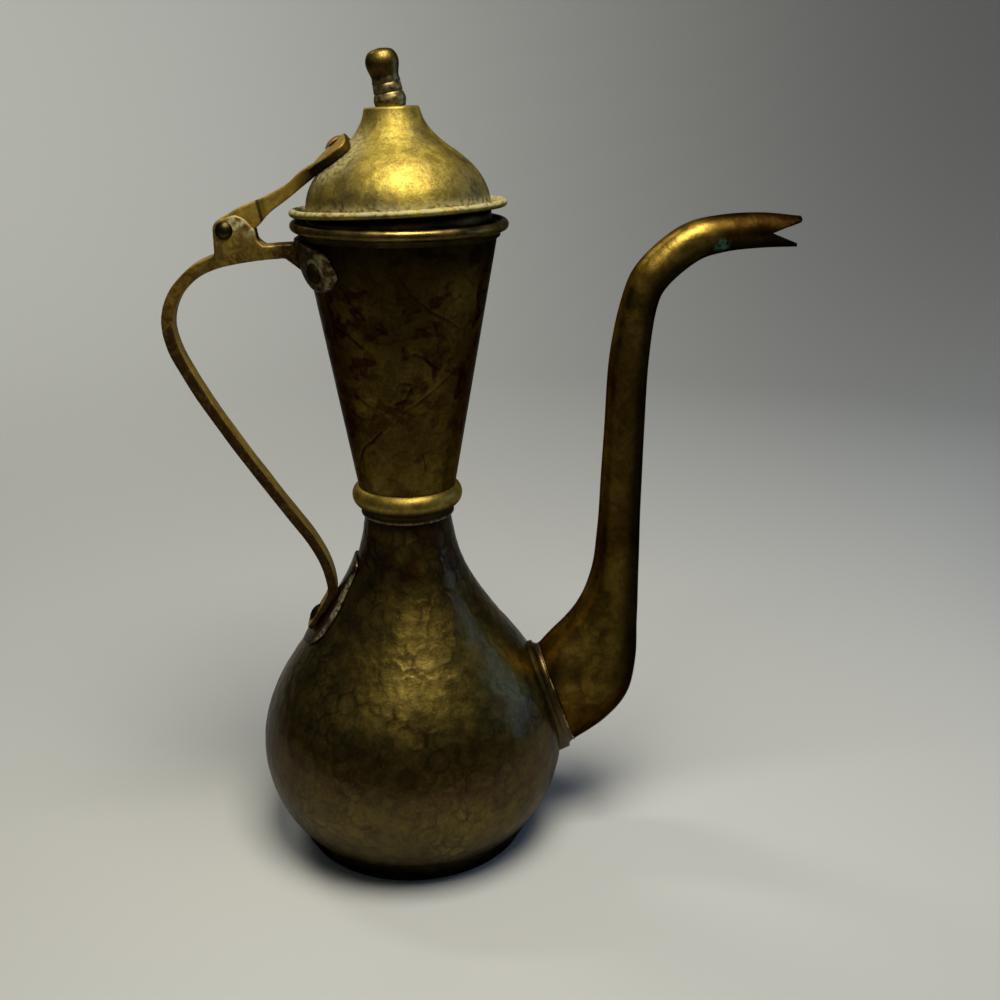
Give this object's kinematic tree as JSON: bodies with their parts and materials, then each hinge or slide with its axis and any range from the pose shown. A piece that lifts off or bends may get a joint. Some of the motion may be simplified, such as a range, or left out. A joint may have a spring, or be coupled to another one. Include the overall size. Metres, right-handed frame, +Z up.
{
  "type": "pouring ewer",
  "caption": "Long-necked brass pouring ewer with a round beaten bulb, conical neck, hinged domed lid, riveted strap handle and tall bent spout with a notched beak.",
  "frame": {"origin": "centre of the flat foot, on the vessel's own axis, at table height", "axes": "+Z up along the vessel's axis, +X towards the spout, -X towards the handle"},
  "size_m": [0.2294, 0.1196, 0.3009],
  "materials": {
    "bulb_brass": "dark brown patina over hammered brass",
    "foot_brass": "nearly black patina",
    "neck_brass": "brown patina with reddish stains and worn engraving",
    "rubbed_brass": "rubbed bright",
    "rim_brass": "dark patina, rubbed on the edge",
    "spout_brass": "golden brown patina",
    "handle_brass": "golden brown, pale oxide in the corners",
    "rivet_brass": "dark patina",
    "lid_brass": "golden, pale grey-green oxide near the edge"
  },
  "bodies": {
    "vessel": {"base_pan": "foot_brass", "body": "bulb_brass", "throat": "bulb_brass", "neck_collar": "rubbed_brass", "neck_cone": "neck_brass", "rim_ring": "rim_brass", "spout_socket": "bulb_brass", "spout": "spout_brass", "handle": "handle_brass", "handle_patch": "handle_brass", "neck_rivets": "rivet_brass", "lower_rivet": "rivet_brass", "hinge_pin": "rivet_brass"},
    "lid": {"lid_dome": "lid_brass", "lid_flange": "lid_brass", "lid_sleeve": "rim_brass", "lid_strap": "handle_brass", "strap_rivet": "rivet_brass", "finial": "lid_brass"}
  },
  "joints": [
    {"name": "lid_hinge", "type": "hinge", "parent": "vessel", "child": "lid", "pos_m": [-0.0606, 0, 0.24165], "axis": [0, -1, 0], "range_deg": [0, 105]}
  ]
}
